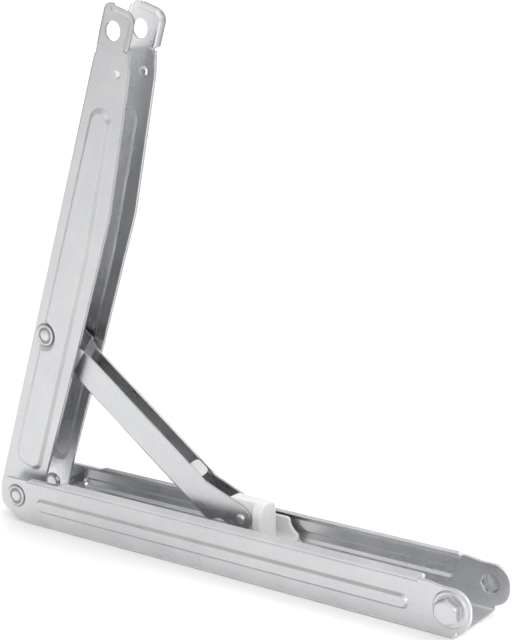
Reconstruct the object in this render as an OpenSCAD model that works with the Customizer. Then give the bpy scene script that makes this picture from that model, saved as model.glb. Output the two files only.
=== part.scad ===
// Folding support bracket: two pressed channels riveted at one end, with a strut that
// runs from the upper channel to a nylon slider in the lower one.
// Each channel is drawn on its own main pivot; the model stands on the lower channel's web.

/* [Opening] */
// Angle of the upper channel above the lower channel
open_angle = 70.9; // [66:0.1:76]

/* [Sheet] */
// Thickness of the channel sheet
sheet = 1.6; // [1.2:0.1:2]
// Thickness of the strut sheet
strut_sheet = 1.2; // [0.9:0.1:1.5]

/* [Lower channel] */
// Distance from the main pivot to the centre of the ears
lower_reach = 233; // [200:1:280]
// Width over the side plates
lower_w = 33; // [31:0.5:38]
// Main pivot to the underside of the web
lower_drop = 12.8; // [12:0.1:15]
// Radius outside the web's bends
lower_bend_r = 2.2; // [1.8:0.1:3]
// Rounded end around the main pivot
pivot_end_r = 10.1; // [9:0.1:12]
// Height of the plates beside the main pivot
pivot_end_top = 8.3; // [7.5:0.1:10]
// Start of the web, from the main pivot
web_start = 4; // [2:0.5:8]
// Height where the lip bends inwards
lip_z = 7; // [6:0.1:8]
// Radius outside the lip's bend
lip_bend_r = 2.7; // [2.2:0.1:3.5]
// Straight part of the lip
lip_flat = 2.6; // [1.5:0.1:3.5]
// Start of the full lip, from the main pivot
lip_start = 27; // [20:1:40]
// End of the full lip, before the ear's centre
lip_short = 13; // [10:0.5:20]

/* [Ribs] */
// Height of every pressed form
press_h = 1.2; // [0.8:0.1:1.5]
// Half width of the lower channel's rib at its foot
rib_foot = 3.2; // [2.6:0.1:3.6]
// Width of the sloping wall of a rib
rib_slope = 1.05; // [0.8:0.05:1.4]
// Height of the rib's centre line, below the main pivot
rib_z = -2.1; // [-3:0.1:-1]
// Start of the rib, from the main pivot
rib_start = 12.8; // [11:0.2:20]
// End of the rib, before the ear's centre
rib_short = 18.7; // [16:0.1:30]

/* [Lower ears] */
// Half height and half width of an ear
ear_r = 9; // [8:0.1:10]
// Height of the ear's centre
ear_z = -0.5; // [-1.5:0.1:1]
// Radius of the raised round pad
pad_r = 7.8; // [7.2:0.1:8.4]
// Height of the pad
pad_h = 0.9; // [0.5:0.1:1.4]
// Drawn hexagon across flats
hex_af = 10; // [8:0.5:11]
// Height of the hexagon above the pad
hex_h = 3.9; // [2.5:0.1:5]
// Hexagonal recess across flats
recess_af = 7.5; // [6:0.1:8]

/* [Upper channel] */
// Width over the side plates
upper_w = 19; // [18:0.5:21]
// Main pivot to the outside of the web
upper_drop = 17.8; // [17:0.1:20]
// Main pivot to the tip of the ears
upper_len = 235.3; // [200:0.5:280]
// Radius outside the web's bends
upper_bend_r = 2.4; // [2:0.1:3]
// Rounded end around the main pivot
heel_r = 9.8; // [9:0.1:11]
// Heel of the web behind the main pivot
heel = 3.5; // [2:0.1:5]
// Length of the web cut away between the ears
fork_len = 24; // [20:0.5:30]
// Depth of the side plates at the kink of the free edge
kink_depth = 10.8; // [9:0.1:11]
// Kink of the free edge, from the main pivot
kink_u = 146; // [120:1:160]
// Depth of the free edge where the ear begins
ear_root_depth = 4.05; // [3:0.05:5]
// Start of the ear, before the tip
ear_root = 27.3; // [24:0.1:34]
// Hole in each ear
eye_d = 8.4; // [6:0.1:9]
// Hole to the tip of the ears
eye_back = 11.3; // [10:0.1:14]
// Height of the hole above the main pivot line
eye_w = 9.5; // [8:0.1:11]

/* [Upper ear edge] */
// Radius inside the rolled edge
roll_r = 1.15; // [0.8:0.05:1.6]
// Depth of the rolled edge below the main pivot line
roll_depth = 1.75; // [1:0.05:2.5]
// Start of the rolled edge, before the tip
roll_start = 17.3; // [14:0.1:20]
// Corner of the ear
ear_corner_r = 5.5; // [4.5:0.1:7]

/* [Upper panel] */
// Outer line of the panel, above the main pivot line
panel_top = 11.3; // [10.5:0.1:12]
// Foot radius of the panel's corners
panel_r = 6.1; // [5:0.1:6.5]
// Width of the panel's sloping wall
panel_slope = 2; // [1.5:0.1:2.5]
// Start of the panel, from the main pivot
panel_start = 12.5; // [11:0.5:20]
// End of the panel, before the tip
panel_short = 44.7; // [40:0.1:60]
// Inner line of the panel near the main pivot
panel_low = -5.2; // [-6:0.1:-4]

/* [Pivots] */
// Radius of the channel and strut rivets' shank
shank_r = 2.5; // [2:0.1:3]
// Radius of the rivet heads
head_r = 4.95; // [4:0.05:5.4]
// Height of the rivet heads
head_h = 1.1; // [0.8:0.1:1.6]
// Radius of the heads inside the channels
inner_head_r = 4.2; // [3.6:0.1:4.8]
// Radius of the main pivot's bushes
bush_r = 5.4; // [4.5:0.1:7]
// Strut pivot along the upper channel
strut_u = 79; // [70:0.5:90]
// Strut pivot above the main pivot line
strut_w = 9.5; // [8.5:0.1:10]
// Slider pin radius
pin_r = 1.5; // [1.2:0.1:2]
// Slider pin above the main pivot
pin_z = 10.2; // [9.5:0.1:11]

/* [Strut] */
// Strut between its pivots
strut_len = 125.6; // [115:0.2:135]
// Width over the flanges
strut_width = 9.4; // [8.6:0.1:10.5]
// Flange edge above the strut pivot
strut_top = 5.7; // [5:0.1:6.5]
// Depth of the strut's channel
strut_depth = 14.4; // [12:0.1:16]
// Slope of the channel against the line through the pivots
strut_tilt = 2.9; // [1:0.1:4]
// Radius outside the strut's bends
strut_bend_r = 1.8; // [1.5:0.1:2.4]
// Length of the spread ears
spread = 22; // [18:0.5:28]
// Radius of the lower end
toe_r = 5.2; // [4.6:0.1:5.8]
// Start of the stop tabs, from the strut pivot
tab_s = 91.6; // [80:0.5:96]
// Length of the stop tabs
tab_len = 8; // [6:0.5:10]

/* [Slider] */
// Length of the slider's base
slider_len = 26; // [22:0.5:32]
// Base behind the pin
slider_back = 7.3; // [6:0.1:9]
// Top of the base above the main pivot
slider_base_top = 0.5; // [-1:0.1:1]
// Top of the side walls above the main pivot
slider_wall_top = 9; // [7:0.1:10]
// Top of the head above the main pivot
slider_head_top = 18.4; // [17:0.1:19]
// Half width of the head
slider_head_w = 6; // [5:0.1:6.6]

/* [Fits] */
// Gap between flat faces that turn or slide on each other
side_gap = 0.1; // [0.05:0.01:0.2]
// Radial clearance of a running fit
run_gap = 0.05; // [0.02:0.01:0.1]
// Radial clearance of a pressed fit
press_gap = 0.01; // [0.01:0.01:0.02]
// Gap beside the slider's walls, between the lips
slider_gap = 0.3; // [0.2:0.05:0.4]

/* [Hidden] */
$fn = 64;

// Largest turn of one flat in a rounded corner
ARC_STEP = 12;
// Extra length of a cutting body past the face that it cuts
past = 1;

lower_half = lower_w / 2;
lower_inner = lower_half - sheet;
upper_half = upper_w / 2;
upper_inner = upper_half - sheet;
strut_half = strut_width / 2;
strut_inner = strut_half - strut_sheet;
ear_half = upper_inner - side_gap;
lower_end = lower_reach + ear_r;
web_top = sheet - lower_drop;

// Strut pivot and slider pin in the lower channel's plane
strut_x = strut_u * cos(open_angle) - strut_w * sin(open_angle);
strut_z = strut_u * sin(open_angle) + strut_w * cos(open_angle);
strut_angle = asin((strut_z - pin_z) / strut_len);
pin_x = strut_x + strut_len * cos(strut_angle);

// Slider pin in the strut channel's own plane
pin_s = strut_len * cos(strut_tilt);
pin_t = strut_len * sin(strut_tilt);

// Lip: corners of its straight part
lip_mid = lower_half - lip_bend_r;
lip_top = lip_z + (lip_bend_r + lip_flat) * sin(45);
lip_clear = lip_mid + (lip_bend_r - sheet - lip_flat) * cos(45);

// The model's origin: under the middle of its bounding box
heel_corner = 0.8;
back_x = (heel_corner - heel) * cos(open_angle) - (upper_drop - heel_corner) * sin(open_angle) - heel_corner;
mid_x = (min(back_x, -pivot_end_r) + lower_end) / 2;

function xy(p) = [p[0], p[1]];

// Points of an arc of radius r about c, from angle a to angle b
function arc(c, r, a, b) =
    let (n = max(2, ceil(abs(b - a) / ARC_STEP)))
    [for (k = [0:n]) c + r * [cos(a + (b - a) * k / n), sin(a + (b - a) * k / n)]];

// Rounds the corner p between its neighbours a and b
function fillet(p, a, b, r) =
    let (u = (a - p) / norm(a - p),
         v = (b - p) / norm(b - p),
         half = acos(u * v) / 2,
         c = p + (u + v) / norm(u + v) * r / sin(half),
         s = p + u * r / tan(half) - c,
         e = p + v * r / tan(half) - c,
         from = atan2(s[1], s[0]),
         turn = atan2(e[1], e[0]) - from,
         sweep = turn > 180 ? turn - 360 : turn < -180 ? turn + 360 : turn)
    arc(c, r, from, from + sweep);

// Outline through corners given as [x, y] or [x, y, radius]
function rounded(pts) =
    let (n = len(pts))
    [for (i = [0:n - 1])
        let (p = pts[i])
        each (len(p) < 3 ? [p]
            : fillet(xy(p), xy(pts[(i + n - 1) % n]), xy(pts[(i + 1) % n]), p[2]))];

// Stands a section drawn in Y and Z along X
module along_x(length) {
    rotate([90, 0, 90]) linear_extrude(length) children();
}

// Stands an outline drawn in X and Z across Y, from y = 0 towards +Y
module across_y(depth) {
    rotate([90, 0, 0]) translate([0, 0, -depth]) linear_extrude(depth) children();
}

// The same outline, centred on the mid-plane
module across_mid(width) {
    rotate([90, 0, 0]) linear_extrude(width, center = true) children();
}

// Repeats a far-side form on the near side
module both_sides() {
    children();
    mirror([0, 1, 0]) children();
}

// Turns a form drawn on the Z axis onto the Y axis, with its top outwards
module onto_y() {
    rotate([-90, 0, 0]) children();
}

// Places the upper channel's own plane at the opening angle
module on_upper() {
    rotate([0, -open_angle, 0]) children();
}

// Places the strut channel's own plane on the strut pivot
module on_strut() {
    translate([strut_x, 0, strut_z]) rotate([0, strut_angle + strut_tilt, 0]) children();
}

// Moves the whole model onto its origin
module standing() {
    translate([-mid_x, 0, lower_drop]) children();
}

// Section of a pressed wall, as radii and heights from the foot up to the crest. The skirt
// stands inside the plate, so the plate's face cuts the wall at a clear angle.
function wall_section(foot, crest, height, sink, soft) =
    let (slope = atan(height / (foot - crest)),
         ease = soft * tan(slope / 2),
         low = [for (t = [0:0.5:1]) [foot + ease - soft * sin(t * slope), soft - soft * cos(t * slope)]],
         high = [for (t = [1:-0.5:0]) [crest - ease + soft * sin(t * slope), height - soft + soft * cos(t * slope)]],
         dip = 0.05,
         skirt = low[0][0] + dip * (low[0][0] - low[1][0]) / low[1][1])
    concat([[skirt, -sink], [skirt, -dip]], [low[1], low[2]], high);

// Closed body through rings of points, each ring with the same count and anticlockwise when
// seen from the last ring
module through(rings) {
    count = len(rings[0]);
    last = len(rings) - 1;
    polyhedron(points = [for (ring = rings) each ring],
               faces = concat([[for (k = [0:count - 1]) k]],
                              [for (j = [0:last - 1], k = [0:count - 1])
                                  let (next = (k + 1) % count)
                                  [j * count + k, (j + 1) * count + k, (j + 1) * count + next, j * count + next]],
                              [[for (k = [0:count - 1]) (last + 1) * count - 1 - k]]));
}

// A form pressed out of a flat plate, around the convex polygon of its corner centres,
// given anticlockwise
module pressed_form(centres, foot, crest, height, sink, soft) {
    n = len(centres);
    headings = [for (i = [0:n - 1]) let (run = centres[(i + 1) % n] - centres[i]) atan2(run[1], run[0])];
    through([for (level = wall_section(foot, crest, height, sink, soft))
        [for (i = [0:n - 1])
            let (came = headings[(i + n - 1) % n],
                 turn = (headings[i] - came + 720) % 360)
            each [for (p = arc(centres[i], level[0], came - 90, came - 90 + turn)) [p[0], p[1], level[1]]]]]);
}

// How far a pressed wall's inner corners lie inside its outer ones
function wall_shift(slope) = sheet * tan(atan(press_h / slope) / 2);

// Lower channel

rib_centres = [[rib_start + rib_foot, rib_z], [lower_reach - rib_short - rib_foot, rib_z]];

module lower_section() {
    polygon(rounded([[lower_half, 2 * ear_r], [-lower_half, 2 * ear_r],
                     [-lower_half, -lower_drop, lower_bend_r], [lower_half, -lower_drop, lower_bend_r]]));
}

module lower_hollow() {
    polygon(rounded([[lower_inner, 3 * ear_r], [-lower_inner, 3 * ear_r],
                     [-lower_inner, web_top, lower_bend_r - sheet], [lower_inner, web_top, lower_bend_r - sheet]]));
}

// Side view of the plates, without the lips
module lower_outline() {
    lip_end = lower_reach - lip_short;
    polygon(rounded([[web_start, -lower_drop, 1], [lower_reach + 0.5, -lower_drop, 1],
                     [lower_reach + 2.2, -lower_drop + 1.6, 0.6], [lower_reach + 2.4, ear_z - ear_r, 0.4],
                     [lower_end, ear_z - ear_r, ear_r - 1.2], [lower_end, ear_z + ear_r - 0.4, ear_r - 1.2],
                     [lower_reach - 4, ear_z + ear_r - 0.4, 6], [lip_end + 2, lip_z + 2, 4], [lip_end - 2, lip_z + 2],
                     [lip_end - 2, lip_z], [7, lip_z],
                     [7, pivot_end_top, 1], [-pivot_end_r, pivot_end_top, 6], [-pivot_end_r, -5.4, 5]]));
}

// Section of one lip, on the far side
module lip_section() {
    c = [lip_mid, lip_z];
    flat = lip_flat * [-sin(45), cos(45)];
    outer = arc(c, lip_bend_r, 0, 45);
    inner = arc(c, lip_bend_r - sheet, 45, 0);
    polygon(concat([[lower_half, lip_z - past]], outer, [outer[len(outer) - 1] + flat], [inner[0] + flat], inner,
                   [[lower_inner, lip_z - past]]));
}

// Side view of a lip: a low bead beside the pivot end, then the full height
module lip_outline() {
    lip_end = lower_reach - lip_short;
    low = lip_z + lip_bend_r * sin(45);
    polygon(rounded([[7, lip_z - past], [lip_end, lip_z - past], [lip_end, lip_top + 0.3, 2.5],
                     [lip_start + 3, lip_top + 0.3, 4], [lip_start - 2, low, 4], [7, low, 1]]));
}

module lower_ear_boss() {
    hex_out = pad_h + hex_h;
    translate([lower_reach, lower_half, ear_z]) onto_y() {
        translate([0, 0, -sheet / 2]) cylinder(r = pad_r, h = sheet / 2);
        cylinder(r1 = pad_r, r2 = pad_r - 0.5, h = pad_h);
        intersection() {
            rotate(90) cylinder(d = hex_af / cos(30), h = hex_out, $fn = 6);
            cylinder(r1 = hex_af / 2 - 0.4 + hex_out, r2 = hex_af / 2 - 0.4, h = hex_out);
        }
    }
}

module lower_ear_recess() {
    depth = pad_h + hex_h - sheet + 0.2;
    translate([lower_reach, lower_inner, ear_z]) onto_y() {
        translate([0, 0, -past]) cylinder(r = pad_r - 0.8, h = past);
        cylinder(r1 = pad_r - 0.8, r2 = pad_r - 1.3, h = pad_h);
        rotate(90) cylinder(d = recess_af / cos(30), h = pad_h + depth, $fn = 6);
        translate([0, 0, pad_h]) cylinder(r1 = recess_af / 2 + 0.9, r2 = recess_af / 2, h = 0.9);
    }
}

module lower_channel() {
    shift = wall_shift(rib_slope);
    color("silver") difference() {
        union() {
            intersection() {
                translate([-2 * pivot_end_r, 0, 0]) along_x(lower_end + 3 * pivot_end_r) difference() {
                    lower_section();
                    lower_hollow();
                }
                across_mid(2 * lower_w) lower_outline();
            }
            both_sides() intersection() {
                along_x(lower_end) lip_section();
                across_y(lower_w) lip_outline();
            }
            both_sides() lower_ear_boss();
            both_sides() translate([0, lower_half, 0]) mirror([0, 1, 0]) rotate([90, 0, 0])
                pressed_form(rib_centres, rib_foot, rib_foot - rib_slope, press_h, sheet / 2, 0.5);
        }
        both_sides() lower_ear_recess();
        both_sides() translate([0, lower_inner, 0]) mirror([0, 1, 0]) rotate([90, 0, 0])
            pressed_form(rib_centres, rib_foot - shift, rib_foot - rib_slope - shift, press_h, past, 0.5);
        across_mid(2 * lower_w) circle(r = shank_r + press_gap);
    }
}

// Upper channel, drawn along X with its web on top

// The rolled edge laps over the plate's edge and is this much proud of both faces
roll_lap = 0.3;
roll_skin = 0.03;
// The roll grows to its full section over this length
roll_taper = 3;
roll_tip = 0.05;
tip_edge = upper_len - roll_r - sheet - roll_skin;
roll_w = roll_r + sheet - roll_depth;
roll_corner = ear_corner_r - roll_r - sheet;
roll_top = upper_drop - ear_corner_r - 0.3;
eye_u = upper_len - eye_back;
web_end = upper_len - fork_len;

panel_centres = let (w1 = panel_low + panel_r, w2 = panel_top - panel_r, u1 = panel_start + panel_r,
                     u2 = upper_len - panel_short - panel_r)
    [[u1, w1], [u1 + 0.64 * (u2 - u1), w1 + 0.2], [u2, w2], [u1, w2]];

module upper_section() {
    polygon(rounded([[upper_half, -2 * kink_depth], [upper_half, upper_drop, upper_bend_r],
                     [-upper_half, upper_drop, upper_bend_r], [-upper_half, -2 * kink_depth]]));
}

module upper_hollow() {
    polygon(rounded([[upper_inner, -3 * kink_depth], [upper_inner, upper_drop - sheet, upper_bend_r - sheet],
                     [-upper_inner, upper_drop - sheet, upper_bend_r - sheet], [-upper_inner, -3 * kink_depth]]));
}

// Side view of the plates, up to where the ear's edge rolls out
module upper_outline() {
    polygon(rounded([[-heel_r, -heel_r, heel_r - 0.8], [15, -heel_r + 1.2, 12], [80, -kink_depth + 0.6, 200],
                     [kink_u, -kink_depth, 60], [upper_len - ear_root, -ear_root_depth, 8],
                     [upper_len - roll_start - 1, -roll_depth, 4], [upper_len - roll_start, -roll_depth],
                     [upper_len - roll_start, roll_w + roll_lap],
                     [tip_edge - roll_lap, roll_w + roll_lap, roll_corner - roll_lap],
                     [tip_edge - roll_lap, roll_top], [upper_len, roll_top],
                     [upper_len, upper_drop - 0.4, ear_corner_r - 0.5], [web_end + 13, upper_drop - 0.4, 8],
                     [web_end + 0.6, upper_drop - 2, 1], [web_end, upper_drop, 0.8],
                     [-heel, upper_drop, heel_corner], [-heel_r, 3.5, 8]]));
}

// Section of the rolled edge, distance outwards, then across: a quarter round on a tail that
// holds it to the plate
function roll_section() =
    let (c = [0, upper_half + roll_r])
    concat([[-4 * roll_lap, upper_half - sheet / 2], [-2 * roll_lap, upper_inner - roll_skin]],
           arc(c, roll_r + sheet + roll_skin, -90, 0), arc(c, roll_r - roll_skin, 0, -90),
           [[-2 * roll_lap, upper_half + roll_skin]]);

// Far rolled edge: out of a point inside the plate, along the ear's lower edge, round its
// corner and up its end
module rolled_edge() {
    section = roll_section();
    apex = [-2 * roll_lap, upper_half - sheet / 2];
    start = upper_len - roll_start - 1;
    corner = [tip_edge - roll_corner, roll_w + roll_corner];
    through(concat([[for (p = section)
                       let (q = apex + roll_tip * (p - apex))
                       [start, q[1], roll_w - q[0]]],
                    [for (p = section) [start + roll_taper, p[1], roll_w - p[0]]]],
                   [for (t = arc([0, 0], 1, -90, 0)) [for (p = section)
                       let (r = roll_corner + p[0])
                       [corner[0] + r * t[0], p[1], corner[1] + r * t[1]]]],
                   [[for (p = section) [tip_edge + p[0], p[1], roll_top]]]));
}

// Small dimple pressed inwards below the ear's hole
module dimple(r, h) {
    cylinder(r1 = r, r2 = r - 0.8, h = h);
}

module upper_channel() {
    shift = wall_shift(panel_slope);
    dimple_place = [upper_len - 27.8, 0, 2];
    color("silver") on_upper() difference() {
        union() {
            intersection() {
                translate([-2 * heel_r, 0, 0]) along_x(upper_len + 3 * heel_r) difference() {
                    upper_section();
                    upper_hollow();
                }
                across_mid(2 * upper_w) upper_outline();
            }
            both_sides() rolled_edge();
            both_sides() translate(dimple_place + [0, upper_inner + 0.1, 0]) rotate([90, 0, 0]) dimple(2.2, 0.8);
            both_sides() difference() {
                translate([0, upper_half, 0]) mirror([0, 1, 0]) rotate([90, 0, 0])
                    pressed_form(panel_centres, panel_r, panel_r - panel_slope, press_h, sheet / 2, 1);
                translate([strut_u, upper_half, strut_w]) onto_y() cylinder(r1 = 5.6, r2 = 7, h = press_h + 0.01);
            }
        }
        both_sides() difference() {
            translate([0, upper_inner, 0]) mirror([0, 1, 0]) rotate([90, 0, 0])
                pressed_form(panel_centres, panel_r - shift, panel_r - panel_slope - shift, press_h, past, 1);
            translate([strut_u, upper_inner - 2 * past, strut_w]) onto_y()
                cylinder(r1 = 5.6 + shift - 2 * past, r2 = 7 + shift, h = press_h + 2 * past + 0.01);
        }
        both_sides() translate(dimple_place + [0, upper_half + 0.1, 0]) rotate([90, 0, 0]) dimple(1.9, 0.9);
        across_mid(3 * upper_w) {
            translate([eye_u, eye_w]) circle(d = eye_d);
            translate([strut_u, strut_w]) circle(r = shank_r + press_gap);
            circle(r = shank_r + run_gap);
        }
        translate([web_end, -upper_inner + 0.6, upper_drop - 2 * sheet])
            cube([2 * fork_len, 2 * upper_inner - 1.2, 4 * sheet]);
    }
}

// Strut, drawn along X on its upper pivot with its web below

strut_web = strut_top - strut_depth;
web_stop = pin_s - 13;

module strut_section() {
    difference() {
        polygon(rounded([[strut_half, 3 * strut_top], [-strut_half, 3 * strut_top],
                         [-strut_half, strut_web, strut_bend_r], [strut_half, strut_web, strut_bend_r]]));
        polygon(rounded([[strut_inner, 4 * strut_top], [-strut_inner, 4 * strut_top],
                         [-strut_inner, strut_web + strut_sheet, strut_bend_r - strut_sheet],
                         [strut_inner, strut_web + strut_sheet, strut_bend_r - strut_sheet]]));
    }
}

// Side view of the channel, from the spread ears to the toe
module strut_outline() {
    polygon(rounded([[spread, strut_web], [web_stop, strut_web, 2], [pin_s - 8, pin_t - toe_r - 3, 3],
                     [pin_s + toe_r, pin_t - toe_r, toe_r - 0.1], [pin_s + toe_r, pin_t + toe_r, toe_r - 0.1],
                     [pin_s - 2, pin_t + toe_r, 4], [tab_s + tab_len + 2, strut_top, 3],
                     [spread, strut_top]]));
}

// Side view of a spread ear
module strut_ear_outline() {
    polygon(rounded([[-strut_top, -strut_top, strut_top - 0.1], [6, -strut_top, 6],
                     [spread + 0.01, strut_web + strut_bend_r + 0.4],
                     [spread + 0.01, strut_top], [-strut_top, strut_top, strut_top - 0.1]]));
}

// Plan of the far spread ear, joggled from the channel's flange to the upper channel's plate
module strut_ear_plan() {
    joggle = ear_half - strut_half;
    polygon(rounded([[-2 * strut_top, ear_half], [spread - 9, ear_half, 2], [spread - 9 + 2 * joggle, strut_half, 2],
                     [spread + 0.01, strut_half], [spread + 0.01, strut_inner],
                     [spread - 9.4 + 2 * joggle, strut_inner, 2], [spread - 9.4, ear_half - strut_sheet, 2],
                     [-2 * strut_top, ear_half - strut_sheet]]));
}

// Far stop tab, bent over the channel from its flange
module stop_tab() {
    rise = 3;
    tip = 0.4;
    intersection() {
        translate([tab_s, 0, 0]) along_x(tab_len)
            polygon([[strut_half, strut_top - 0.4], [strut_half, strut_top + 0.3], [tip, strut_top + rise],
                     [tip, strut_top + rise - 1.4 * strut_sheet], [strut_inner, strut_top - 1]]);
        translate([0, 0, -strut_top]) linear_extrude(4 * strut_top)
            polygon(rounded([[tab_s, strut_half + past], [tab_s, tip, 2], [tab_s + tab_len, tip, 2],
                             [tab_s + tab_len, strut_half + past]]));
    }
}

module strut() {
    color("silver") on_strut() difference() {
        union() {
            intersection() {
                translate([spread, 0, 0]) along_x(strut_len) strut_section();
                across_mid(2 * strut_width) strut_outline();
            }
            both_sides() intersection() {
                translate([0, 0, -strut_depth]) linear_extrude(2 * strut_depth) strut_ear_plan();
                across_y(upper_w) strut_ear_outline();
            }
            both_sides() stop_tab();
        }
        across_mid(2 * upper_w) circle(r = shank_r + run_gap);
        across_mid(2 * upper_w) translate([pin_s, pin_t]) circle(r = pin_r + press_gap);
        translate([web_stop, -strut_inner, strut_web - past])
            cube([strut_len, strut_width - 2 * strut_sheet, strut_depth]);
    }
}

// Slider, drawn on its pin's place along the lower channel

module slider_base() {
    foot = lower_inner - side_gap;
    wall = lip_clear - slider_gap;
    low = web_top + side_gap;
    translate([pin_x - slider_back, 0, 0]) along_x(slider_len)
        polygon(rounded([[-foot, low, 0.6], [foot, low, 0.6], [foot, -2.2, 0.5], [wall, -0.4],
                         [wall, slider_base_top], [-wall, slider_base_top], [-wall, -0.4], [-foot, -2.2, 0.5]]));
}

module slider_wall() {
    wall = lip_clear - slider_gap;
    end = pin_x - slider_back + slider_len;
    translate([0, wall - 1.5, 0]) across_y(1.5)
        polygon(rounded([[pin_x - slider_back, slider_base_top - past], [end, slider_base_top - past],
                         [end, 1.8, 0.5], [end - 2.5, 3.6, 1.2], [end - 4, 5.6, 2], [end - 4.6, slider_wall_top, 1.6],
                         [pin_x - slider_back + 2, slider_wall_top, 1.6]]));
}

module slider_head() {
    intersection() {
        translate([pin_x, 0, 0]) along_x(14)
            polygon(rounded([[-slider_head_w, web_top + past], [slider_head_w, web_top + past],
                             [slider_head_w, slider_head_top, slider_head_w - 1],
                             [-slider_head_w, slider_head_top, slider_head_w - 1]]));
        linear_extrude(2 * slider_head_top, center = true)
            polygon(rounded([[pin_x + 6.4, -slider_head_w, 1.2], [pin_x + 11.6, -slider_head_w, 1.6],
                             [pin_x + 11.6, slider_head_w, 1.6], [pin_x + 6.4, slider_head_w, 1.2]]));
    }
}

module slider_nose() {
    half = strut_inner - side_gap;
    translate([0, -half, 0]) across_y(2 * half)
        polygon(rounded([[pin_x - slider_back, slider_base_top - past], [pin_x + 8, slider_base_top - past],
                         [pin_x + 8, slider_head_top], [pin_x - slider_back, slider_head_top + 0.1, 0.8]]));
}

module slider_block() {
    color("white") difference() {
        union() {
            slider_base();
            both_sides() slider_wall();
            slider_head();
            slider_nose();
        }
        across_mid(lower_w) translate([pin_x, pin_z]) circle(r = pin_r + run_gap);
    }
}

// Rivets, bushes and pin, each drawn on the Z axis

module rivet(inner_face, outer_face) {
    rotate_extrude()
        polygon(rounded([[0, inner_face - 0.9], [inner_head_r, inner_face - 0.9, 0.4], [inner_head_r, inner_face],
                         [shank_r, inner_face], [shank_r, outer_face], [head_r, outer_face],
                         [head_r, outer_face + head_h - 0.3, 0.5], [3.4, outer_face + head_h - 0.5, 0.3],
                         [2.2, outer_face + head_h, 0.4], [0, outer_face + head_h]]));
}

module pivot_rivet() {
    onto_y() rivet(upper_inner - side_gap, lower_half);
}

module strut_rivet() {
    on_upper() translate([strut_u, 0, strut_w]) onto_y()
        rivet(ear_half - strut_sheet - side_gap, upper_half);
}

module pivot_bush() {
    onto_y() translate([0, 0, upper_half + side_gap]) difference() {
        cylinder(r = bush_r, h = lower_inner - upper_half - side_gap);
        translate([0, 0, -past]) cylinder(r = shank_r + press_gap, h = lower_w);
    }
}

module slider_pin() {
    cap = 1.2;
    color("silver") translate([pin_x, 0, pin_z]) onto_y() rotate_extrude()
        polygon(rounded([[0, -strut_half - cap], [1.2, -strut_half - cap, 0.6], [pin_r + 0.85, -strut_half - 0.5, 0.4],
                         [pin_r + 0.85, -strut_half], [pin_r, -strut_half], [pin_r, strut_half],
                         [pin_r + 0.85, strut_half], [pin_r + 0.85, strut_half + 0.5, 0.4],
                         [1.2, strut_half + cap, 0.6], [0, strut_half + cap]]));
}

module pivot_rivet_near() {
    color("silver") mirror([0, 1, 0]) pivot_rivet();
}

module pivot_rivet_far() {
    color("silver") pivot_rivet();
}

module pivot_bush_near() {
    color("silver") mirror([0, 1, 0]) pivot_bush();
}

module pivot_bush_far() {
    color("silver") pivot_bush();
}

module strut_rivet_near() {
    color("silver") mirror([0, 1, 0]) strut_rivet();
}

module strut_rivet_far() {
    color("silver") strut_rivet();
}

standing() lower_channel();
standing() upper_channel();
standing() strut();
standing() slider_block();
standing() slider_pin();
standing() pivot_rivet_near();
standing() pivot_rivet_far();
standing() pivot_bush_near();
standing() pivot_bush_far();
standing() strut_rivet_near();
standing() strut_rivet_far();
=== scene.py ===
"""Folding support bracket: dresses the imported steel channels, strut, rivets and slider.

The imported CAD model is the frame. Each piece is a copy of a CAD node's mesh that gets its
rounded edges, or a turned rivet in the node's place, and a procedural finish.
"""

import math

import bmesh
import bpy
from bpy.props import FloatProperty, FloatVectorProperty, IntProperty, PointerProperty
from mathutils import Matrix, Vector
from mathutils.bvhtree import BVHTree


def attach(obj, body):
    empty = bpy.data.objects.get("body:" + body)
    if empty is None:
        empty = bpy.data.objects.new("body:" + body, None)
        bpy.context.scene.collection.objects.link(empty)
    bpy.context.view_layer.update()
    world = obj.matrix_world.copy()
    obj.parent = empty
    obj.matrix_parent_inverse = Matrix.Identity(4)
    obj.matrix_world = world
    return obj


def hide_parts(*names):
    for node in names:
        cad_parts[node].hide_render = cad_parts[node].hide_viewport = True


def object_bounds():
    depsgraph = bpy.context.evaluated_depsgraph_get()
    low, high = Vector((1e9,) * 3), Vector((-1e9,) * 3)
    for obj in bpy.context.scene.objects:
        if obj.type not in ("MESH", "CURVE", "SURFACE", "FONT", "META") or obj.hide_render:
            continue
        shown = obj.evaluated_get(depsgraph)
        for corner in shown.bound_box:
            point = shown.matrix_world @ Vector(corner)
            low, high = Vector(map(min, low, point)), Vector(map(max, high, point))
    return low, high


bl_info = {
    "name": "Folding Support Bracket",
    "version": (1, 0, 0),
    "blender": (4, 5, 0),
    "location": "View3D > Sidebar > Bracket",
    "description": "Finishes the channels, strut, rivets and slider of a folding support bracket",
    "category": "Add Mesh",
}

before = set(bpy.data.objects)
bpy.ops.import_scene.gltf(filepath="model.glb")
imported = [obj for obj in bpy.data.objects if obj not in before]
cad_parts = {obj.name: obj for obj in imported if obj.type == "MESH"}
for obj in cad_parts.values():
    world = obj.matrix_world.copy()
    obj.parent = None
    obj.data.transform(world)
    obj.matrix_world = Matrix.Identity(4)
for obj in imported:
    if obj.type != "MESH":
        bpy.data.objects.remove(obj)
cad_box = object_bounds()

MM = 0.001

# Places on the frame
PIVOT = Vector((-112.126, 0, 12.8)) * MM
STRUT_PIVOT = Vector((-95.253, 0, 90.56)) * MM
SLIDER_PIN = Vector((10.630, 0, 23.0)) * MM
OPEN_ANGLE = math.radians(70.9)
STRUT_SLOPE = math.radians(-35.44)

# Faces of the sheet, from the mid-plane, in millimetres
LOWER_INNER, LOWER_OUTER = 14.9, 16.5
UPPER_INNER, UPPER_OUTER = 7.9, 9.5
# Inner heads of the pivot's and the strut's rivets
PIVOT_HEAD, STRUT_HEAD = 7.8, 6.5
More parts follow.
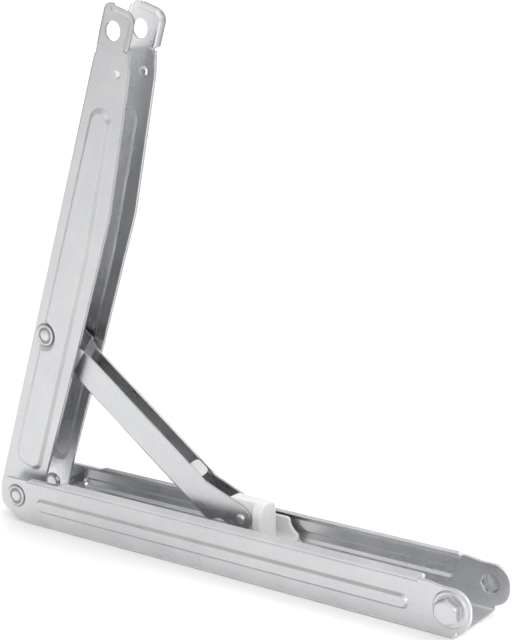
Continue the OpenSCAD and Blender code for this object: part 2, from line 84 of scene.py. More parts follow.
# The painted light on the inner faces reaches this far past an inner face, into the pressed forms,
# and ends there. The strut has no pressed forms, so its painted light is counted from inside its
# face.
PRESSED_DEPTH, INNER_TONE_END = 1.22 * MM, 1.5 * MM
STRUT_TONE_FROM = 2.4

# Lower ears: centre in X and Z, the pad's radius and height, and half the hexagon's width
EAR_CENTRE = (120.874, 12.3)
PAD_RADIUS, PAD_HEIGHT, RECESS_HALF = 7.8, 0.9, 3.75
# Slit between ear and fillet: its lowest and highest corners in X and Z, and where it closes
SLIT_FROM, SLIT_TO, SLIT_CLOSED = (122.0, 3.26), (123.65, 3.46), (123.52, 3.33)
# Far rib: its box in the solids, and how far the photograph shows it higher and longer
FAR_RIB_FROM, FAR_RIB_TO = (-100.2, 14.8, 7), (103.2, 18, 14.4)
FAR_RIB_RISE, FAR_RIB_REACH = 2.5, 2.6

# Points this near each other are one, and faces within this angle are one flat face
SAME_POINT, FLAT_WITHIN = 2e-6, math.radians(0.6)
# Bevels: edges that turn by more than this many degrees are rounded. Pressed walls turn by less
# than the second, and get twice the width below the height where the small dimples start.
CORNER_TURN, PRESSED_TURN, DIMPLE_FROM = 38, 56, 195
BEVEL_SEGMENTS = 2
# Faces with more sides than this shade flat, and no corner turns past this cosine
FLAT_SIDES, LEAST_COSINE = 10, 0.5

# Patterns of the zinc plate, in waves to the metre
CLOUDS, FINE_CLOUDS, GRIT = 55, 420, 5200
ACROSS_GRAIN = 1600
SCRATCHES, SCRATCH_TURN = (90, 5200, 5200), 0.09
# Painted shadow ring round a rivet on the plate: width, and the tone on it
PAINTED_SHADOW_WIDTH, PAINTED_SHADOW_TONE = 0.7 * MM, 0.45

# Rivets: shank, inner head's radius and height, and the rounding steps of a profile's corner
SHANK, INNER_HEAD, INNER_HEIGHT = 2.5 * MM, 4.2 * MM, 0.85 * MM
CORNER_STEPS = 4
# Slider pin: half its length, the height of its heads, and the radii of pin and heads
PIN_HALF, PIN_CAP, PIN_RADIUS, PIN_HEAD = 4.7 * MM, 1.15 * MM, 1.5 * MM, 2.3 * MM

# Stage
FLOOR_REACH, FLOOR_DROP = 40, 5e-5
RIGHT_SIDE = (0.95, -0.31, 0)
SIDE_WINDOW, SIDE_WINDOW_EDGE = (0.76, -0.6, 0.25), 0.93
ROOF_WINDOW, ROOF_WINDOW_EDGE = (0.2, 0.35, 0.91), 0.95
BACK_LIGHT, BACK_SPOT, BACK_SIZE = (-3.2, 4.6, 3.6), (-3.0, 4.2, 0), 8.0
FRONT_LIGHT, FRONT_SPOT, FRONT_SIZE = (0.75, -0.6, 0.8), (0.75, -0.6, 0), 0.6
CAMERA_PLACE = Vector((0.427671, -0.539914, 0.273040))
CAMERA_TARGET = Vector((0.017754, 0, 0.110510))
CAMERA_ROLL = math.radians(-1.117)
CAMERA_SHIFT = (0.00034, -0.00103)


# Sizes and colours


class BracketSizes(bpy.types.PropertyGroup):
    edge_break: FloatProperty(
        name="Edge break", description="Rounding of the sheet's sheared edges",
        default=0.00028, min=0.00005, max=0.0004, subtype="DISTANCE", unit="LENGTH")
    slider_grid: FloatProperty(
        name="Slider grid", description="Grid of the moulded slider's skin",
        default=0.00028, min=0.0002, max=0.0006, subtype="DISTANCE", unit="LENGTH")
    slider_ease: IntProperty(
        name="Slider easing", description="Passes that soften the moulded slider's edges",
        default=34, min=0, max=60)
    head_radius: FloatProperty(
        name="Rivet head radius", description="Outer radius of the four formed heads",
        default=0.00493, min=0.004, max=0.005, subtype="DISTANCE", unit="LENGTH")
    head_height: FloatProperty(
        name="Rivet head height", description="Height of the formed heads above the plates",
        default=0.00108, min=0.0006, max=0.0011, subtype="DISTANCE", unit="LENGTH")
    rivet_segments: IntProperty(
        name="Rivet segments", description="Segments round each rivet", default=64, min=24, max=128)


class BracketFinish(bpy.types.PropertyGroup):
    zinc_light: FloatVectorProperty(
        name="Zinc, light", description="Lighter tone of the zinc plate",
        default=(0.60, 0.603, 0.61), min=0, max=1, subtype="COLOR")
    zinc_dark: FloatVectorProperty(
        name="Zinc, dark", description="Darker tone of the zinc plate",
        default=(0.53, 0.535, 0.545), min=0, max=1, subtype="COLOR")
    rivet_light: FloatVectorProperty(
        name="Rivet, light", description="Lighter tone of the rivets",
        default=(0.64, 0.643, 0.65), min=0, max=1, subtype="COLOR")
    rivet_dark: FloatVectorProperty(
        name="Rivet, dark", description="Darker tone of the rivets",
        default=(0.56, 0.565, 0.575), min=0, max=1, subtype="COLOR")
    # Painted shade: how bright the upper channel's cut edges are painted beside its plates.
    painted_edge_tone: FloatProperty(
        name="Edge tone", description="How bright the upper channel's cut edges are by its plates",
        default=0.5, min=0.1, max=1, subtype="FACTOR")
    # Painted light: how much lighter the inner faces between the plates are painted, where the
    # plates shade each other.
    inner_painted_light: FloatProperty(
        name="Inner lift", description="How much lighter the unworn inner faces of the sheet are",
        default=1.42, min=1, max=1.6)
    nylon_light: FloatVectorProperty(
        name="Nylon, light", description="Lighter tone of the white nylon",
        default=(0.61, 0.61, 0.606), min=0, max=1, subtype="COLOR")
    nylon_dark: FloatVectorProperty(
        name="Nylon, dark", description="Darker tone of the white nylon",
        default=(0.585, 0.585, 0.58), min=0, max=1, subtype="COLOR")
    grain_length: FloatProperty(
        name="Grain length", description="Length of the rolling marks in the sheet",
        default=0.030, min=0.005, max=0.1, subtype="DISTANCE", unit="LENGTH")


class BracketStage(bpy.types.PropertyGroup):
    floor_colour: FloatVectorProperty(
        name="Floor", description="Colour of the pale floor",
        default=(0.90, 0.90, 0.90), min=0, max=1, subtype="COLOR")
    horizon_light: FloatProperty(
        name="Horizon light", description="Strength of the room's light above eye level",
        default=1.15, min=0, max=3)
    ceiling_light: FloatProperty(
        name="Ceiling light", description="Strength of the room's light from straight above",
        default=0.9, min=0, max=3)
    back_power: FloatProperty(
        name="Back light", description="Power of the soft light over the floor behind the object",
        default=340, min=0, max=2000, unit="POWER")
    front_power: FloatProperty(
        name="Front light", description="Power of the soft light over the floor before the object",
        default=4.5, min=0, max=50, unit="POWER")
    side_window: FloatProperty(
        name="Side window", description="Extra strength of the soft window on the right",
        default=0.6, min=0, max=10)
    roof_window: FloatProperty(
        name="Roof window", description="Extra strength of the soft window overhead",
        default=1.3, min=0, max=10)
    lens: FloatProperty(
        name="Lens", description="Focal length of the camera, in millimetres",
        default=94.597, min=50, max=150, unit="CAMERA")


# Node helpers


class Tree:
    """Short calls for building a node tree."""

    def __init__(self, tree):
        self.tree = tree

    def node(self, kind, **settings):
        node = self.tree.nodes.new(kind)
        for key, value in settings.items():
            setattr(node, key, value)
        return node

    def feed(self, source, target):
        self.tree.links.new(source, target)

    def math(self, operation, a, b=None, clamp=False):
        node = self.node("ShaderNodeMath", operation=operation, use_clamp=clamp)
        for socket, value in zip(node.inputs, (a, b)):
            if isinstance(value, (int, float)):
                socket.default_value = value
            elif value is not None:
                self.feed(value, socket)
        return node.outputs[0]


def stretched(t, turn, scale):
    """Object coordinates turned about Y, so that X runs along the piece, then scaled."""
    place = t.node("ShaderNodeTexCoord")
    level = t.node("ShaderNodeMapping")
    level.inputs["Rotation"].default_value = (0, turn, 0)
    t.feed(place.outputs["Object"], level.inputs["Vector"])
    size = t.node("ShaderNodeMapping")
    size.inputs["Scale"].default_value = scale
    t.feed(level.outputs["Vector"], size.inputs["Vector"])
    return size.outputs["Vector"]


def noise(t, vector, scale, detail=3.0, roughness=0.55):
    """Noise with its detail and roughness on the node's own sockets."""
    node = t.node("ShaderNodeTexNoise")
    node.inputs["Scale"].default_value = scale
    node.inputs["Detail"].default_value = detail
    node.inputs["Roughness"].default_value = roughness
    t.feed(vector, node.inputs["Vector"])
    return node.outputs["Fac"]


def between(t, value, low, high, to_low, to_high):
    """Smooth step of a value from one range to another."""
    node = t.node("ShaderNodeMapRange", interpolation_type="SMOOTHSTEP")
    for key, number in (("From Min", low), ("From Max", high),
                        ("To Min", to_low), ("To Max", to_high)):
        node.inputs[key].default_value = number
    t.feed(value, node.inputs["Value"])
    return node.outputs["Result"]


def blend_colours(t, factor, low, high):
    """Mix of two plain colours by a factor."""
    node = t.node("ShaderNodeMix", data_type="RGBA")
    t.feed(factor, node.inputs["Factor"])
    node.inputs["A"].default_value = (*low, 1)
    node.inputs["B"].default_value = (*high, 1)
    return node.outputs["Result"]


def alignment(t, vector, direction):
    """Dot product of a vector with a fixed direction."""
    node = t.node("ShaderNodeVectorMath", operation="DOT_PRODUCT")
    t.feed(vector, node.inputs[0])
    node.inputs[1].default_value = direction
    return node.outputs["Value"]


def bump_from(t, height, strength, distance, shader):
    """Bump from a height pattern, on the shader's normal."""
    bump = t.node("ShaderNodeBump")
    bump.inputs["Strength"].default_value = strength
    bump.inputs["Distance"].default_value = distance
    t.feed(height, bump.inputs["Height"])
    t.feed(bump.outputs["Normal"], shader.inputs["Normal"])


def painted_ring_shade(t, centre, radius, width, least):
    """Painted shade: 1 away from a ring round an axis along Y, and a darker value on it."""
    place = t.node("ShaderNodeTexCoord")
    offset = t.node("ShaderNodeVectorMath", operation="SUBTRACT")
    t.feed(place.outputs["Object"], offset.inputs[0])
    offset.inputs[1].default_value = tuple(centre)
    flat = t.node("ShaderNodeVectorMath", operation="MULTIPLY")
    t.feed(offset.outputs[0], flat.inputs[0])
    flat.inputs[1].default_value = (1, 0, 1)
    reach = t.node("ShaderNodeVectorMath", operation="LENGTH")
    t.feed(flat.outputs[0], reach.inputs[0])
    away = t.math("ABSOLUTE", t.math("SUBTRACT", reach.outputs["Value"], radius))
    return between(t, away, width * 0.35, width, least, 1)


def new_finish(name, colour):
    """Empty material with its tree and its shader."""
    material = bpy.data.materials.new(name)
    material.use_nodes = True
    material.diffuse_color = (*colour, 1)
    t = Tree(material.node_tree)
    return material, t, t.tree.nodes["Principled BSDF"]


def paint_inner_light(t, colour, place, half_width, lift, edge):
    """Painted light between the plates and in their pressed forms, where they shade each other, and
    painted shade on the cut edges.
    """
    split = t.node("ShaderNodeSeparateXYZ")
    t.feed(place, split.inputs[0])
    aside = t.math("ABSOLUTE", split.outputs["Y"])
    inside = between(t, aside, half_width + PRESSED_DEPTH, half_width + INNER_TONE_END, lift, 1)
    facing = t.node("ShaderNodeSeparateXYZ")
    t.feed(t.node("ShaderNodeTexCoord").outputs["Normal"], facing.inputs[0])
    # Painted shade: darker colour on the cut edges, which face along X, beside the plates.
    cut = t.math("MULTIPLY", between(t, facing.outputs["X"], 0.3, 0.7, 0, 1),
                 between(t, aside, half_width, half_width + 0.3 * MM, 0, 1 - edge))
    inside = t.math("MULTIPLY", inside, t.math("SUBTRACT", 1.0, cut))
    lifted_colour = t.node("ShaderNodeVectorMath", operation="SCALE")
    t.feed(colour, lifted_colour.inputs[0])
    t.feed(inside, lifted_colour.inputs["Scale"])
    return lifted_colour.outputs["Vector"]


def steel_finish(name, light, dark, turn=0.0, roughness=(0.26, 0.36), grain=0.030, marks=0.2,
                 rings=(), inner=None):
    """Zinc plate on rolled sheet: clouds, rolling marks, fine scratches, and painted shade rings
    round rivets.

    inner gives half the width between the plates, how much lighter they are painted inside, as
    painted light where the plates shade each other, and how bright the cut edges beside them are
    painted.
    """
    material, t, shader = new_finish(name, light)
    shader.inputs["Metallic"].default_value = 1.0
    even = stretched(t, turn, (1, 1, 1))
    along = stretched(t, turn, (1 / grain, ACROSS_GRAIN, ACROSS_GRAIN))
    cloud = noise(t, even, CLOUDS, 4)
    fine_cloud = noise(t, even, FINE_CLOUDS, 3)
    streak = noise(t, along, 1.0, 4, 0.6)
    scratch = noise(t, stretched(t, turn + SCRATCH_TURN, SCRATCHES), 1.0, 2, 0.5)
    grit = noise(t, even, GRIT, 2)
    tone = t.math("ADD", t.math("MULTIPLY", cloud, 0.6), t.math("MULTIPLY", fine_cloud, 0.15))
    tone = t.math("ADD", tone, t.math("MULTIPLY", streak, 0.17), clamp=True)
    colour = blend_colours(t, between(t, tone, 0.33, 0.66, 0, 1), dark, light)
    # Painted light between the plates, and painted shade on the cut edges.
    if inner:
        colour = paint_inner_light(t, colour, even, *inner)
    # Painted shade: darker rings round the rivets, a painted shadow on the plates and painted shade
    # in the heads' grooves.
    for ring in rings:
        shade = t.node("ShaderNodeMix", data_type="RGBA", blend_type="MULTIPLY")
        shade.inputs["Factor"].default_value = 1
        t.feed(colour, shade.inputs["A"])
        t.feed(painted_ring_shade(t, *ring), shade.inputs["B"])
        colour = shade.outputs["Result"]
    t.feed(colour, shader.inputs["Base Color"])
    rough = t.math("ADD", t.math("MULTIPLY", cloud, 0.75), t.math("MULTIPLY", streak, 0.25))
    t.feed(between(t, rough, 0.36, 0.64, *roughness), shader.inputs["Roughness"])
    lines = between(t, scratch, 0.66, 0.74, 0, 1)
    relief = t.math("ADD", t.math("MULTIPLY", streak, marks), t.math("MULTIPLY", grit, 0.25))
    relief = t.math("SUBTRACT", relief, t.math("MULTIPLY", lines, 0.18))
    bump_from(t, relief, 0.12, 0.05 * MM, shader)
    return material


def nylon_finish(name, light, dark):
    """Moulded white nylon: faint flow clouds, satin texture, light bleeding under the surface."""
    material, t, shader = new_finish(name, light)
    shader.inputs["Subsurface Weight"].default_value = 0.12
    shader.inputs["Subsurface Radius"].default_value = (1, 1, 1)
    shader.inputs["Subsurface Scale"].default_value = 0.0012
    shader.inputs["IOR"].default_value = 1.53
    flow = noise(t, stretched(t, 0, (60, 190, 190)), 1.0, 3)
    satin = noise(t, stretched(t, 0, (1, 1, 1)), 3800, 2)
    colour = blend_colours(t, between(t, flow, 0.38, 0.6, 0, 1), dark, light)
    t.feed(colour, shader.inputs["Base Color"])
    t.feed(between(t, flow, 0.35, 0.65, 0.34, 0.46), shader.inputs["Roughness"])
    bump_from(t, satin, 0.15, 0.04 * MM, shader)
    return material


# Mesh helpers


def merged_copy(node, name):
    """Copy of a CAD node's mesh, with its loose triangles joined and flat faces made whole."""
    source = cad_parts[node]
    bm = bmesh.new()
    bm.from_mesh(source.data)
    bmesh.ops.remove_doubles(bm, verts=bm.verts, dist=SAME_POINT)
    bmesh.ops.dissolve_limit(bm, angle_limit=FLAT_WITHIN, verts=bm.verts, edges=bm.edges)
    mesh = bpy.data.meshes.new(name)
    bm.to_mesh(mesh)
    bm.free()
    piece = bpy.data.objects.new(name, mesh)
    bpy.context.scene.collection.objects.link(piece)
    return piece


def break_edges(piece, width):
    """Rounds sheared edges by the width and the gentler pressed edges by twice as much."""
    bm = bmesh.new()
    bm.from_mesh(piece.data)
    weight = bm.edges.layers.float.new("bevel_weight_edge")
    for edge in bm.edges:
        turn = math.degrees(edge.calc_face_angle(0))
        if turn > CORNER_TURN:
            a, b = (vertex.co for vertex in edge.verts)
            level = abs(a.y - b.y) < 0.01 * MM
            pressed = turn < PRESSED_TURN and level and a.z < DIMPLE_FROM * MM
            edge[weight] = 1 if pressed else 0.5
    bm.to_mesh(piece.data)
    bm.free()
    piece.data.shade_smooth()
    bevel = piece.modifiers.new("edge_break", "BEVEL")
    bevel.width = width * 2
    bevel.segments = BEVEL_SEGMENTS
    bevel.limit_method = "WEIGHT"
    bevel.use_clamp_overlap = False
    bevel.miter_outer = "MITER_ARC"
    bevel.harden_normals = True
    weighted = piece.modifiers.new("flat_faces", "WEIGHTED_NORMAL")
    weighted.keep_sharp = True


def as_plain_mesh(piece):
    """Applies a piece's modifiers through the evaluated object, and removes them."""
    graph = bpy.context.evaluated_depsgraph_get()
    result = bpy.data.meshes.new_from_object(piece.evaluated_get(graph))
    piece.modifiers.clear()
    old, piece.data = piece.data, result
    name = old.name
    bpy.data.meshes.remove(old)
    result.name = name


def close_slit(piece):
    """Joins the corners of the hair-thin slit between each lower ear and the fillet below it."""
    bm = bmesh.new()
    bm.from_mesh(piece.data)
    for vertex in bm.verts:
        x, z = vertex.co.x / MM, vertex.co.z / MM
        if SLIT_FROM[0] < x < SLIT_TO[0] and SLIT_FROM[1] < z < SLIT_TO[1]:
            vertex.co.x, vertex.co.z = SLIT_CLOSED[0] * MM, SLIT_CLOSED[1] * MM
    bmesh.ops.remove_doubles(bm, verts=bm.verts, dist=SAME_POINT)
    bm.to_mesh(piece.data)
    bm.free()


def flush_pads(piece):
    """Closes the round step inside each lower ear, so its inner face is flat up to a hexagon."""
    for vertex in piece.data.vertices:
        x, y, z = (c / MM for c in vertex.co)
        across, above = x - EAR_CENTRE[0], z - EAR_CENTRE[1]
        reach = math.hypot(across, above)
        step = 0.05 < abs(y) - LOWER_INNER < 0.05 + PAD_HEIGHT
        if not (step and RECESS_HALF - 0.1 < reach < PAD_RADIUS):
            continue
        vertex.co.y = math.copysign(LOWER_INNER * MM, y)
        if reach < RECESS_HALF + 1.05:
            turn = math.atan2(above, across)
            rim = RECESS_HALF / math.cos(turn % math.radians(60) - math.radians(30)) + 0.2
            vertex.co.x = (EAR_CENTRE[0] + rim * math.cos(turn)) * MM
            vertex.co.z = (EAR_CENTRE[1] + rim * math.sin(turn)) * MM


def raise_far_rib(piece):
    """Sets the far plate's rib where the photograph shows it, a little higher and longer."""
    for vertex in piece.data.vertices:
        if all(low < c / MM < high for low, c, high in zip(FAR_RIB_FROM, vertex.co, FAR_RIB_TO)):
            vertex.co.z += FAR_RIB_RISE * MM
            if vertex.co.x > 0:
                vertex.co.x += FAR_RIB_REACH * MM


def mend_normals(mesh):
    """Keeps many-sided faces flat in shading, and corners from shading away from their own face."""
    normals = [corner.vector.copy() for corner in mesh.corner_normals]
    for face in mesh.polygons:
        many_sided = len(face.vertices) > FLAT_SIDES
        for corner in face.loop_indices:
            if many_sided or normals[corner].dot(face.normal) < LEAST_COSINE:
                normals[corner] = face.normal.copy()
    mesh.normals_split_custom_set(normals)


def surface_of(mesh):
    """Search tree of a mesh's surface."""
    mesh.calc_loop_triangles()
    return BVHTree.FromPolygons([vertex.co.copy() for vertex in mesh.vertices],
                                [tuple(triangle.vertices) for triangle in mesh.loop_triangles])


def trim_strays(piece, surface, reach):
    """Moves rounded corners that left the sheet back onto its surface, inside the CAD box."""
    for vertex in piece.data.vertices:
        spot, _normal, _face, distance = surface.find_nearest(vertex.co)
        if distance > reach:
            vertex.co = spot
        vertex.co = [min(max(c, low), high) for c, low, high in zip(vertex.co, *cad_box)]


def coat(piece, material):
    """Gives a piece one material."""
    piece.data.materials.clear()
    piece.data.materials.append(material)


def stand_in(piece, nodes, body):
    """Puts a piece in the place of its CAD nodes."""
    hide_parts(*nodes)
    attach(piece, body)


def dress(node, name, body, material, width):
    """Finished copy of a pressed CAD node, with its edges broken."""
    piece = merged_copy(node, name)
    if node == "lower_channel":
        close_slit(piece)
        flush_pads(piece)
        raise_far_rib(piece)
    surface = surface_of(piece.data)
    coat(piece, material)
    break_edges(piece, width)
    as_plain_mesh(piece)
    trim_strays(piece, surface, width * 0.55)
    mend_normals(piece.data)
    stand_in(piece, (node,), body)


def eased(points):
    """Rounds the corners of an open profile of (radius, height, corner size) points."""
    out = [points[0][:2]]
    for before, here, after in zip(points, points[1:], points[2:]):
        if here[2] <= 0:
            out.append(here[:2])
            continue
        p, a, b = Vector(here[:2]), Vector(before[:2]), Vector(after[:2])
        size = min(here[2], (a - p).length * 0.48, (b - p).length * 0.48)
        start, end = p + (a - p).normalized() * size, p + (b - p).normalized() * size
        for k in range(CORNER_STEPS + 1):
            f = k / CORNER_STEPS
            out.append(tuple((1 - f) ** 2 * start + 2 * f * (1 - f) * p + f * f * end))
    out.append(points[-1][:2])
    return out


def turned_mesh(name, profile, segments):
    """Turns a profile of (radius, height) round Z; both ends lie on the axis."""
    bm = bmesh.new()
    rings = []
    for radius, height in profile:
        if radius < 1e-7:
            rings.append([bm.verts.new((0, 0, height))])
        else:
            rings.append([
                bm.verts.new((radius * math.cos(2 * math.pi * k / segments),
                              radius * math.sin(2 * math.pi * k / segments), height))
                for k in range(segments)])
    for low, high in zip(rings, rings[1:]):
        for k in range(segments):
            n = (k + 1) % segments
            corners = (low[k % len(low)], low[n % len(low)],
                       high[n % len(high)], high[k % len(high)])
            unique = list(dict.fromkeys(corners))
            if len(unique) > 2:
                bm.faces.new(unique)
    bmesh.ops.recalc_face_normals(bm, faces=bm.faces)
    mesh = bpy.data.meshes.new(name)
    bm.to_mesh(mesh)
    bm.free()
    mesh.shade_smooth()
    return mesh


# Rivets


def mirrored_pair_tree():
    """Geometry Nodes tree that sets a rivet on each side of the mid-plane, each at its own turn."""
    tree = bpy.data.node_groups.new("rivet_pair", "GeometryNodeTree")
    sockets = tree.interface
    sockets.new_socket("Geometry", in_out="INPUT", socket_type="NodeSocketGeometry")
    for name, kind, value in (("Place", "NodeSocketVector", (0, 0, 0)),
                              ("Sides", "NodeSocketInt", 2),
                              ("Largest Turn", "NodeSocketFloat", math.pi),
                              ("Seed", "NodeSocketInt", 7),
                              ("Finish", "NodeSocketMaterial", None)):
        socket = sockets.new_socket(name, in_out="INPUT", socket_type=kind)
        if value is not None:
            socket.default_value = value
    sockets.new_socket("Geometry", in_out="OUTPUT", socket_type="NodeSocketGeometry")
    t = Tree(tree)
    given = t.node("NodeGroupInput").outputs
    out = t.node("NodeGroupOutput")

    spots = t.node("GeometryNodePoints")
    t.feed(given["Sides"], spots.inputs["Count"])
    t.feed(given["Place"], spots.inputs["Position"])

    # The first rivet's outer head points to the near side, and the second's to the far side
    index = t.node("GeometryNodeInputIndex").outputs[0]
    lean = t.node("ShaderNodeMath", operation="MULTIPLY_ADD")
    t.feed(index, lean.inputs[0])
    lean.inputs[1].default_value = -math.pi
    lean.inputs[2].default_value = math.pi / 2
    onto = t.node("ShaderNodeCombineXYZ")
    t.feed(lean.outputs[0], onto.inputs["X"])

    turn = t.node("FunctionNodeRandomValue", data_type="FLOAT")
    numbers = [socket for socket in turn.inputs if socket.type == "VALUE"]
    t.feed(given["Largest Turn"], next(s for s in numbers if s.name == "Max"))
    t.feed(given["Seed"], next(s for s in turn.inputs if s.name == "Seed"))
    spin = t.node("ShaderNodeCombineXYZ")
    t.feed(next(s for s in turn.outputs if s.type == "VALUE"), spin.inputs["Z"])
    pose = t.node("FunctionNodeRotateRotation", rotation_space="LOCAL")
    t.feed(onto.outputs[0], pose.inputs[0])
    t.feed(spin.outputs[0], pose.inputs[1])

    each = t.node("GeometryNodeInstanceOnPoints")
    t.feed(spots.outputs[0], each.inputs["Points"])
    t.feed(given["Geometry"], each.inputs["Instance"])
    t.feed(pose.outputs[0], each.inputs["Rotation"])
    real = t.node("GeometryNodeRealizeInstances")
    t.feed(each.outputs[0], real.inputs[0])
    finish = t.node("GeometryNodeSetMaterial")
    t.feed(real.outputs[0], finish.inputs["Geometry"])
    t.feed(given["Finish"], finish.inputs["Material"])
    t.feed(finish.outputs[0], out.inputs[0])
    return tree


def rivet_set(name, profile, segments, place, seed, finish, body, nodes, tree, sides=2):
    """One plain mesh with a turned rivet on each side, or with one through the middle."""
    piece = bpy.data.objects.new(name, turned_mesh(name, profile, segments))
    bpy.context.scene.collection.objects.link(piece)
    modifier = piece.modifiers.new("rivet_pair", "NODES")
    modifier.node_group = tree
    wanted = {"Place": tuple(place), "Sides": sides, "Largest Turn": math.pi, "Seed": seed,
              "Finish": finish}
    for item in tree.interface.items_tree:
        if item.in_out == "INPUT" and item.name in wanted:
            modifier[item.identifier] = wanted[item.name]
    as_plain_mesh(piece)
    stand_in(piece, nodes, body)


def rivet_profile(inner_face, outer_face, radius, height):
    """Whole rivet along its own axis: small inner head, shank, then the dished outer head."""
    rim, groove, boss = radius * 0.86, radius * 0.66, radius * 0.46
    inner_top = inner_face - INNER_HEIGHT
    return eased([
        (0, inner_top, 0), (INNER_HEAD * 0.9, inner_top, 0.3 * MM),
        (INNER_HEAD, inner_face - 0.1 * MM, 0), (INNER_HEAD, inner_face, 0), (SHANK, inner_face, 0),
        (SHANK, outer_face, 0), (radius, outer_face, 0),
        (radius, outer_face + height * 0.55, 0.3 * MM),
        (rim, outer_face + height * 0.9, 0.3 * MM), (groove, outer_face + height * 0.2, 0.4 * MM),
        (boss, outer_face + height * 0.82, 0.4 * MM), (0.6 * MM, outer_face + height, 0.5 * MM),
        (0, outer_face + height, 0)])


def pin_profile():
    """Slider pin along its own axis, with a formed head on each end."""
    top = PIN_HALF + PIN_CAP
    half = [(PIN_RADIUS, PIN_HALF, 0), (PIN_HEAD, PIN_HALF, 0),
            (PIN_HEAD, PIN_HALF + 0.4 * MM, 0.3 * MM), (PIN_RADIUS, top, 0.6 * MM), (0, top, 0)]
    return eased([(radius, -height, corner) for radius, height, corner in reversed(half)] + half)


# Operators


class BRACKET_OT_channels(bpy.types.Operator):
    """Finish the two pressed channels"""
    bl_idname = "bracket.channels"
    bl_label = "Channels"

    def execute(self, context):
        sizes, finish = context.scene.bracket_sizes, context.scene.bracket_finish
        light, dark, grain = finish.zinc_light, finish.zinc_dark, finish.grain_length
        # Painted shadow ring on the plate round each rivet's head.
        painted_shadow_ring = (sizes.head_radius + 0.12 * MM, PAINTED_SHADOW_WIDTH, PAINTED_SHADOW_TONE)
        lower = steel_finish("zinc_plate_lower", light, dark, 0, grain=grain,
                             rings=[(PIVOT, *painted_shadow_ring)],
                             inner=(LOWER_INNER * MM, finish.inner_painted_light, 1.0))
        upper = steel_finish("zinc_plate_upper", light, dark, OPEN_ANGLE, grain=grain,
                             rings=[(STRUT_PIVOT, *painted_shadow_ring)],
                             inner=(UPPER_INNER * MM, finish.inner_painted_light, finish.painted_edge_tone))
        width = sizes.edge_break
        dress("lower_channel", "lower_channel_pressed", "lower", lower, width)
        dress("upper_channel", "upper_channel_pressed", "upper", upper, width)
        return {"FINISHED"}


class BRACKET_OT_strut(bpy.types.Operator):
    """Finish the strut between the upper channel and the slider"""
    bl_idname = "bracket.strut"
    bl_label = "Strut"

    def execute(self, context):
        sizes, finish = context.scene.bracket_sizes, context.scene.bracket_finish
        # The strut's flanges get half the painted light of the channels' inner faces.
        lift = 1 + (finish.inner_painted_light - 1) * 0.5
        material = steel_finish("zinc_plate_strut", finish.zinc_light, finish.zinc_dark,
                                STRUT_SLOPE, roughness=(0.22, 0.36), grain=finish.grain_length,
                                inner=(STRUT_TONE_FROM * MM, lift, 1.0))
        dress("strut", "strut_pressed", "brace", material, sizes.edge_break * 0.8)
        return {"FINISHED"}


class BRACKET_OT_slider(bpy.types.Operator):
    """Finish the moulded slider"""
    bl_idname = "bracket.slider"
    bl_label = "Slider"

    def execute(self, context):
        sizes, finish = context.scene.bracket_sizes, context.scene.bracket_finish
        piece = merged_copy("slider_block", "slider_moulded")
        skin = piece.modifiers.new("moulded_skin", "REMESH")
        skin.mode = "VOXEL"
        skin.voxel_size = sizes.slider_grid
        ease = piece.modifiers.new("soft_edges", "SMOOTH")
        ease.factor = 0.5
        ease.iterations = sizes.slider_ease
        as_plain_mesh(piece)
        coat(piece, nylon_finish("satin_nylon", finish.nylon_light, finish.nylon_dark))
        piece.data.shade_smooth()
        stand_in(piece, ("slider_block",), "slider")
        return {"FINISHED"}


class BRACKET_OT_rivets(bpy.types.Operator):
    """Make the formed rivets and the slider's pin, and finish the pivot bushes"""
    bl_idname = "bracket.rivets"
    bl_label = "Rivets"

    def execute(self, context):
        sizes, finish = context.scene.bracket_sizes, context.scene.bracket_finish
        radius, height, count = sizes.head_radius, sizes.head_height, sizes.rivet_segments
        # The rivet finish has painted shade: a darker ring in each outer head's groove.
        steel = steel_finish("rivet_plate", finish.rivet_light, finish.rivet_dark, 0,
                             roughness=(0.22, 0.36), grain=0.004, marks=0.15,
                             rings=[(centre, radius * 0.64, radius * 0.17, 0.5)
                                    for centre in (PIVOT, STRUT_PIVOT)])
        tree = mirrored_pair_tree()
        pivot = rivet_profile(PIVOT_HEAD * MM, LOWER_OUTER * MM, radius, height)
        rivet_set("pivot_rivets", pivot, count, PIVOT, 3, steel, "lower",
                  ("pivot_rivet_near", "pivot_rivet_far"), tree)
        strut = rivet_profile(STRUT_HEAD * MM, UPPER_OUTER * MM, radius, height)
        rivet_set("strut_rivets", strut, count, STRUT_PIVOT, 5, steel, "upper",
                  ("strut_rivet_near", "strut_rivet_far"), tree)
        rivet_set("slider_pin_rivet", pin_profile(), count, SLIDER_PIN, 9, steel, "brace",
                  ("slider_pin",), tree, sides=1)
        for node in ("pivot_bush_near", "pivot_bush_far"):
            coat(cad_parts[node], steel)
        return {"FINISHED"}


